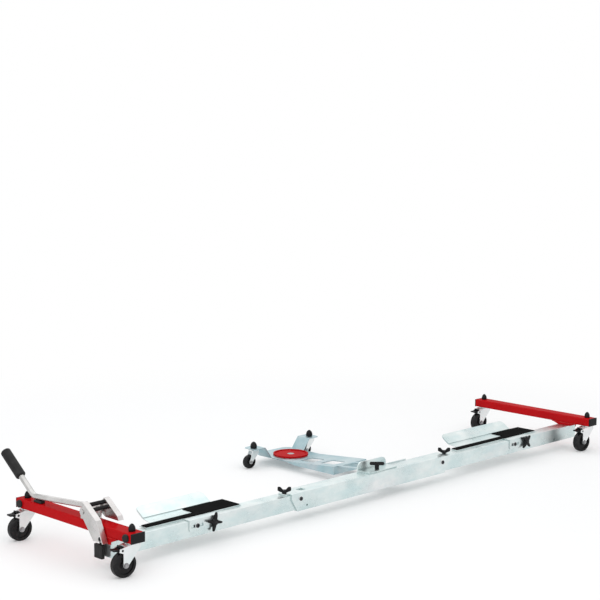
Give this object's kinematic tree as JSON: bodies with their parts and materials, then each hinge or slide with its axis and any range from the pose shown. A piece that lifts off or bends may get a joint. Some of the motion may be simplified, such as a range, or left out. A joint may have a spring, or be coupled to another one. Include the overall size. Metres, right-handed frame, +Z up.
{
  "type": "motorcycle mover dolly",
  "caption": "Low wheeled dolly for moving a parked motorcycle: telescoping spine, cross beams on swivel casters, tyre trays, side stand platform and parking lever.",
  "frame": {"origin": "on the floor, below the middle of the bounding box", "axes": "+X forward along the spine, from the end with the parking lever to the other end; +Y to the left, towards the side stand platform; +Z up"},
  "size_m": [2.3668, 0.78, 0.2691],
  "materials": {
    "red_paint": "gloss powder coat",
    "bright_zinc": "bright zinc plate",
    "plain_steel": "plain steel",
    "black_plastic": "moulded, satin",
    "black_rubber": "matte",
    "wheel_tread": "hard rubber, satin"
  },
  "bodies": {
    "sleeve": {"centre_sleeve": "bright_zinc", "sleeve_bolts": "plain_steel"},
    "rear_end": {"rear_spine_tube": "bright_zinc", "rear_gusset": "red_paint", "rear_beam": "red_paint", "rear_end_caps": "black_plastic", "rear_bumpers": "black_rubber", "rear_stem_caps": "black_plastic", "rear_caster_heads": "bright_zinc", "rear_guide_bolt": "plain_steel", "lever_bracket": "bright_zinc", "lever_rest_pad": "black_rubber"},
    "lever": {"lever_tube": "bright_zinc", "lever_grip": "black_rubber", "lever_near_plate": "bright_zinc", "lever_far_plate": "bright_zinc", "lever_spacer": "plain_steel", "lever_foot": "black_rubber", "lever_foot_bolt": "plain_steel"},
    "rear_tray": {"rear_tray": "bright_zinc", "rear_tray_mat": "black_rubber"},
    "rear_star_knob": {"rear_star_knob": "black_plastic"},
    "front_end": {"front_spine_tube": "bright_zinc", "front_gusset": "red_paint", "front_beam": "red_paint", "front_end_caps": "black_plastic", "front_stem_caps": "black_plastic", "front_caster_heads": "bright_zinc", "front_guide_bolt": "plain_steel"},
    "front_tray": {"front_tray": "bright_zinc", "front_tray_mat": "black_rubber"},
    "front_star_knob": {"front_star_knob": "black_plastic"},
    "rear_wing_screw": {"rear_wing_screw": "black_plastic"},
    "front_wing_screw": {"front_wing_screw": "black_plastic"},
    "platform": {"platform_saddle": "bright_zinc", "platform_pan": "bright_zinc", "platform_bolts": "plain_steel", "platform_stem_caps": "black_plastic", "platform_caster_heads": "bright_zinc", "platform_disc_pin": "plain_steel"},
    "platform_disc": {"platform_disc": "red_paint"},
    "platform_clamp_screw": {"platform_clamp_screw": "black_plastic"},
    "rear_right_swivel": {"rear_right_fork": "bright_zinc"},
    "rear_right_wheel": {"rear_right_wheel": "wheel_tread"},
    "rear_right_pedal": {"rear_right_pedal": "black_plastic"},
    "rear_left_swivel": {"rear_left_fork": "bright_zinc"},
    "rear_left_wheel": {"rear_left_wheel": "wheel_tread"},
    "rear_left_pedal": {"rear_left_pedal": "black_plastic"},
    "front_right_swivel": {"front_right_fork": "bright_zinc"},
    "front_right_wheel": {"front_right_wheel": "wheel_tread"},
    "front_right_pedal": {"front_right_pedal": "black_plastic"},
    "front_left_swivel": {"front_left_fork": "bright_zinc"},
    "front_left_wheel": {"front_left_wheel": "wheel_tread"},
    "front_left_pedal": {"front_left_pedal": "black_plastic"},
    "platform_rear_swivel": {"platform_rear_fork": "bright_zinc"},
    "platform_rear_wheel": {"platform_rear_wheel": "wheel_tread"},
    "platform_front_swivel": {"platform_front_fork": "bright_zinc"},
    "platform_front_wheel": {"platform_front_wheel": "wheel_tread"}
  },
  "joints": [
    {"name": "rear_end_slide", "type": "slide", "parent": "sleeve", "child": "rear_end", "axis": [1, 0, 0], "range_m": [-0.1, 0.06]},
    {"name": "front_end_slide", "type": "slide", "parent": "sleeve", "child": "front_end", "axis": [1, 0, 0], "range_m": [-0.02, 0.1]},
    {"name": "platform_slide", "type": "slide", "parent": "sleeve", "child": "platform", "axis": [1, 0, 0], "range_m": [-0.15, 0.15]},
    {"name": "rear_tray_slide", "type": "slide", "parent": "rear_end", "child": "rear_tray", "axis": [1, 0, 0], "range_m": [-0.02, 0.02]},
    {"name": "front_tray_slide", "type": "slide", "parent": "front_end", "child": "front_tray", "axis": [1, 0, 0], "range_m": [-0.02, 0.02]},
    {"name": "lever_pivot", "type": "hinge", "parent": "rear_end", "child": "lever", "pos_m": [-1.11656, -0.172, 0.153], "axis": [1, 0, 0], "range_deg": [0, 34]},
    {"name": "rear_star_knob_turn", "type": "hinge", "parent": "rear_tray", "child": "rear_star_knob", "pos_m": [-0.74856, -0.2953, 0.072], "axis": [0, 1, 0], "range_deg": [-180, 180]},
    {"name": "front_star_knob_turn", "type": "hinge", "parent": "front_tray", "child": "front_star_knob", "pos_m": [0.84244, -0.2953, 0.072], "axis": [0, 1, 0], "range_deg": [-180, 180]},
    {"name": "rear_wing_screw_turn", "type": "hinge", "parent": "sleeve", "child": "rear_wing_screw", "pos_m": [-0.41756, -0.267, 0.094], "axis": [0, 0, 1], "range_deg": [-180, 180]},
    {"name": "front_wing_screw_turn", "type": "hinge", "parent": "sleeve", "child": "front_wing_screw", "pos_m": [0.39044, -0.267, 0.094], "axis": [0, 0, 1], "range_deg": [-180, 180]},
    {"name": "clamp_screw_turn", "type": "hinge", "parent": "platform", "child": "platform_clamp_screw", "pos_m": [0.02844, -0.267, 0.0983], "axis": [0, 0, 1], "range_deg": [-180, 180]},
    {"name": "disc_turn", "type": "hinge", "parent": "platform", "child": "platform_disc", "pos_m": [0.16244, 0.283, 0.0333], "axis": [0, 0, 1], "continuous": true},
    {"name": "rear_right_swivel_turn", "type": "hinge", "parent": "rear_end", "child": "rear_right_swivel", "pos_m": [-1.11656, -0.36, 0.075], "axis": [0, 0, 1], "continuous": true},
    {"name": "rear_right_wheel_roll", "type": "hinge", "parent": "rear_right_swivel", "child": "rear_right_wheel", "pos_m": [-1.14528, -0.35596, 0.0375], "axis": [-0.1392, -0.9903, 0], "continuous": true},
    {"name": "rear_right_pedal_press", "type": "hinge", "parent": "rear_right_swivel", "child": "rear_right_pedal", "pos_m": [-1.15617, -0.35443, 0.082], "axis": [-0.1392, -0.9903, 0], "range_deg": [0, 17]},
    {"name": "rear_left_swivel_turn", "type": "hinge", "parent": "rear_end", "child": "rear_left_swivel", "pos_m": [-1.11656, 0.144, 0.075], "axis": [0, 0, 1], "continuous": true},
    {"name": "rear_left_wheel_roll", "type": "hinge", "parent": "rear_left_swivel", "child": "rear_left_wheel", "pos_m": [-1.14528, 0.14804, 0.0375], "axis": [-0.1392, -0.9903, 0], "continuous": true},
    {"name": "rear_left_pedal_press", "type": "hinge", "parent": "rear_left_swivel", "child": "rear_left_pedal", "pos_m": [-1.15617, 0.14957, 0.082], "axis": [-0.1392, -0.9903, 0], "range_deg": [0, 17]},
    {"name": "front_right_swivel_turn", "type": "hinge", "parent": "front_end", "child": "front_right_swivel", "pos_m": [1.15844, -0.36, 0.075], "axis": [0, 0, 1], "continuous": true},
    {"name": "front_right_wheel_roll", "type": "hinge", "parent": "front_right_swivel", "child": "front_right_wheel", "pos_m": [1.12972, -0.35596, 0.0375], "axis": [-0.1392, -0.9903, 0], "continuous": true},
    {"name": "front_right_pedal_press", "type": "hinge", "parent": "front_right_swivel", "child": "front_right_pedal", "pos_m": [1.11883, -0.35443, 0.082], "axis": [-0.1392, -0.9903, 0], "range_deg": [0, 17]},
    {"name": "front_left_swivel_turn", "type": "hinge", "parent": "front_end", "child": "front_left_swivel", "pos_m": [1.15844, 0.144, 0.075], "axis": [0, 0, 1], "continuous": true},
    {"name": "front_left_wheel_roll", "type": "hinge", "parent": "front_left_swivel", "child": "front_left_wheel", "pos_m": [1.12972, 0.14804, 0.0375], "axis": [-0.1392, -0.9903, 0], "continuous": true},
    {"name": "front_left_pedal_press", "type": "hinge", "parent": "front_left_swivel", "child": "front_left_pedal", "pos_m": [1.11883, 0.14957, 0.082], "axis": [-0.1392, -0.9903, 0], "range_deg": [0, 17]},
    {"name": "platform_rear_swivel_turn", "type": "hinge", "parent": "platform", "child": "platform_rear_swivel", "pos_m": [0.01544, 0.33, 0.05], "axis": [0, 0, 1], "continuous": true},
    {"name": "platform_rear_wheel_roll", "type": "hinge", "parent": "platform_rear_swivel", "child": "platform_rear_wheel", "pos_m": [-0.00436, 0.33278, 0.025], "axis": [-0.1392, -0.9903, 0], "continuous": true},
    {"name": "platform_front_swivel_turn", "type": "hinge", "parent": "platform", "child": "platform_front_swivel", "pos_m": [0.30944, 0.33, 0.05], "axis": [0, 0, 1], "continuous": true},
    {"name": "platform_front_wheel_roll", "type": "hinge", "parent": "platform_front_swivel", "child": "platform_front_wheel", "pos_m": [0.28963, 0.33278, 0.025], "axis": [-0.1392, -0.9903, 0], "continuous": true}
  ]
}
